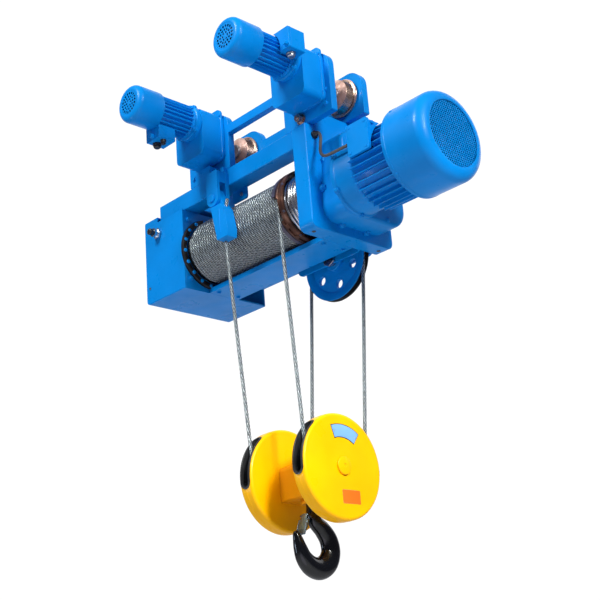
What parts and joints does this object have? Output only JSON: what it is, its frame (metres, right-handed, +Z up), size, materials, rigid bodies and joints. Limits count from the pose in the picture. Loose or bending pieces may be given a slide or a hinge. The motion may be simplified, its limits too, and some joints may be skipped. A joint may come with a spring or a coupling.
{
  "type": "electric wire rope hoist",
  "caption": "Monorail hoist: a geared motor winds wire rope on a grooved drum, and the rope falls, led over a return sheave, lift a sheaved block with a swivelling hook.",
  "frame": {"origin": "midway between the four trolley wheels, at the height where their treads run on the beam's flange", "axes": "+X along the drum towards the hoist motor and along the monorail, +Y away from the travel motors, +Z up"},
  "size_m": [1.363, 0.719, 1.6608],
  "materials": {
    "blue_paint": "gloss",
    "yellow_paint": "gloss",
    "black_paint": "gloss",
    "machined_steel": "machined",
    "wire_rope": "galvanised",
    "wheel_iron": "red-brown primer, bright treads",
    "guide_iron": "dark brown",
    "sheave_iron": "oiled black",
    "latch_steel": "zinc plated",
    "black_rubber": "matt",
    "black_plastic": "satin"
  },
  "bodies": {
    "frame": {"left_end_cover": "blue_paint", "left_bearing_wall": "blue_paint", "right_end_frame": "blue_paint", "bottom_beam": "blue_paint", "top_beam": "blue_paint", "rear_beam": "blue_paint", "return_sheave_pin": "machined_steel", "anchor_bracket": "blue_paint", "wedge_socket": "blue_paint", "anchor_pin": "machined_steel", "guide_bar": "machined_steel", "gearbox_cover": "blue_paint", "motor_end_bell": "blue_paint", "motor_housing": "blue_paint", "motor_fan_cover": "blue_paint", "motor_terminal_box": "blue_paint", "motor_lead": "black_rubber", "control_plug": "black_plastic", "rope_fall_1": "wire_rope", "rope_fall_2": "wire_rope", "rope_fall_3": "wire_rope", "rope_fall_4": "wire_rope", "near_side_frame": "blue_paint", "far_side_frame": "blue_paint", "travel_gearbox_1": "blue_paint", "travel_motor_1": "blue_paint", "travel_fan_cover_1": "blue_paint", "travel_terminal_box_1": "blue_paint", "far_axle_1": "machined_steel", "travel_gearbox_2": "blue_paint", "travel_motor_2": "blue_paint", "travel_fan_cover_2": "blue_paint", "travel_terminal_box_2": "blue_paint", "far_axle_2": "machined_steel"},
    "drum": {"drum": "machined_steel", "drum_rope": "wire_rope", "drum_gear": "machined_steel"},
    "rope_guide": {"rope_guide": "guide_iron"},
    "countershaft": {"countershaft": "machined_steel"},
    "motor_rotor": {"motor_rotor": "machined_steel", "motor_fan": "black_plastic"},
    "return_sheave": {"return_sheave": "blue_paint"},
    "hook_block": {"block_cover_right": "yellow_paint", "block_cover_left": "yellow_paint", "block_axle": "yellow_paint"},
    "block_sheave_right": {"block_sheave_right": "sheave_iron"},
    "block_sheave_left": {"block_sheave_left": "sheave_iron"},
    "crosshead": {"crosshead": "yellow_paint", "hook_thrust_bearing": "machined_steel"},
    "hook": {"hook": "black_paint", "hook_nut": "machined_steel"},
    "hook_latch": {"hook_latch": "latch_steel"},
    "near_wheel_1": {"near_wheel_1": "wheel_iron"},
    "far_wheel_1": {"far_wheel_1": "wheel_iron"},
    "travel_gear_1": {"travel_gear_1": "machined_steel"},
    "travel_rotor_1": {"travel_rotor_1": "machined_steel"},
    "near_wheel_2": {"near_wheel_2": "wheel_iron"},
    "far_wheel_2": {"far_wheel_2": "wheel_iron"},
    "travel_gear_2": {"travel_gear_2": "machined_steel"},
    "travel_rotor_2": {"travel_rotor_2": "machined_steel"}
  },
  "joints": [
    {"name": "drum_spin", "type": "hinge", "parent": "frame", "child": "drum", "pos_m": [0, 0, -0.31], "axis": [-1, 0, 0], "range_deg": [0, 833.39]},
    {"name": "guide_travel", "type": "slide", "parent": "frame", "child": "rope_guide", "axis": [1, 0, 0], "range_m": [0, 0.0326]},
    {"name": "countershaft_spin", "type": "hinge", "parent": "frame", "child": "countershaft", "pos_m": [0.24, 0.108, -0.31], "axis": [-1, 0, 0], "range_deg": [-2200, 0]},
    {"name": "motor_spin", "type": "hinge", "parent": "frame", "child": "motor_rotor", "pos_m": [0.4, 0, -0.31], "axis": [-1, 0, 0], "range_deg": [0, 7600]},
    {"name": "return_sheave_spin", "type": "hinge", "parent": "frame", "child": "return_sheave", "pos_m": [0.045, 0.19, -0.44], "axis": [0, 1, 0], "range_deg": [0, 370]},
    {"name": "block_lift", "type": "slide", "parent": "frame", "child": "hook_block", "axis": [0, 0, 1], "range_m": [0, 0.4005], "deforming": ["rope_fall_1", "rope_fall_2", "rope_fall_3", "rope_fall_4"]},
    {"name": "right_sheave_spin", "type": "hinge", "parent": "hook_block", "child": "block_sheave_right", "pos_m": [0.147, 0, -1.19], "axis": [-1, 0, 0], "range_deg": [0, 555]},
    {"name": "left_sheave_spin", "type": "hinge", "parent": "hook_block", "child": "block_sheave_left", "pos_m": [-0.091, 0, -1.19], "axis": [1, 0, 0], "range_deg": [0, 190]},
    {"name": "crosshead_tilt", "type": "hinge", "parent": "hook_block", "child": "crosshead", "pos_m": [0.028, 0, -1.19], "axis": [1, 0, 0], "range_deg": [-15, 15]},
    {"name": "hook_swivel", "type": "hinge", "parent": "crosshead", "child": "hook", "pos_m": [0.028, 0, -1.25], "axis": [0, 0, 1], "continuous": true},
    {"name": "latch_swing", "type": "hinge", "parent": "hook", "child": "hook_latch", "pos_m": [0.028, -0.032, -1.316], "axis": [1, 0, 0], "range_deg": [0, 40], "stiffness_Nm_per_rad": 0.3, "springref_deg": -20.05},
    {"name": "near_wheel_1_roll", "type": "hinge", "parent": "frame", "child": "near_wheel_1", "pos_m": [-0.252, -0.09, 0.055], "axis": [0, 1, 0], "continuous": true},
    {"name": "far_wheel_1_roll", "type": "hinge", "parent": "frame", "child": "far_wheel_1", "pos_m": [-0.252, 0.05, 0.055], "axis": [0, 1, 0], "continuous": true},
    {"name": "travel_gear_1_spin", "type": "hinge", "parent": "frame", "child": "travel_gear_1", "pos_m": [-0.20883, -0.15, 0.04306], "axis": [0, 1, 0], "continuous": true},
    {"name": "travel_rotor_1_spin", "type": "hinge", "parent": "frame", "child": "travel_rotor_1", "pos_m": [-0.227, -0.3, 0.084], "axis": [0, 1, 0], "continuous": true},
    {"name": "near_wheel_2_roll", "type": "hinge", "parent": "frame", "child": "near_wheel_2", "pos_m": [0.252, -0.09, 0.055], "axis": [0, 1, 0], "continuous": true},
    {"name": "far_wheel_2_roll", "type": "hinge", "parent": "frame", "child": "far_wheel_2", "pos_m": [0.252, 0.05, 0.055], "axis": [0, 1, 0], "continuous": true},
    {"name": "travel_gear_2_spin", "type": "hinge", "parent": "frame", "child": "travel_gear_2", "pos_m": [0.29517, -0.15, 0.04306], "axis": [0, 1, 0], "continuous": true},
    {"name": "travel_rotor_2_spin", "type": "hinge", "parent": "frame", "child": "travel_rotor_2", "pos_m": [0.277, -0.3, 0.084], "axis": [0, 1, 0], "continuous": true}
  ],
  "couplings": [
    {"joint": "guide_travel", "follows": "drum_spin", "m_per_rad": 0.0022282},
    {"joint": "countershaft_spin", "follows": "drum_spin", "ratio": -2.6},
    {"joint": "motor_spin", "follows": "drum_spin", "ratio": 9.1},
    {"joint": "return_sheave_spin", "follows": "drum_spin", "ratio": 0.44},
    {"joint": "block_lift", "follows": "drum_spin", "m_per_rad": 0.0275},
    {"joint": "right_sheave_spin", "follows": "drum_spin", "ratio": 0.66},
    {"joint": "left_sheave_spin", "follows": "drum_spin", "ratio": 0.22},
    {"joint": "far_wheel_1_roll", "follows": "near_wheel_1_roll", "ratio": 1},
    {"joint": "travel_gear_1_spin", "follows": "near_wheel_1_roll", "ratio": -2.5},
    {"joint": "travel_rotor_1_spin", "follows": "near_wheel_1_roll", "ratio": 6.25},
    {"joint": "near_wheel_2_roll", "follows": "near_wheel_1_roll", "ratio": 1},
    {"joint": "far_wheel_2_roll", "follows": "near_wheel_1_roll", "ratio": 1},
    {"joint": "travel_gear_2_spin", "follows": "near_wheel_1_roll", "ratio": -2.5},
    {"joint": "travel_rotor_2_spin", "follows": "near_wheel_1_roll", "ratio": 6.25}
  ]
}
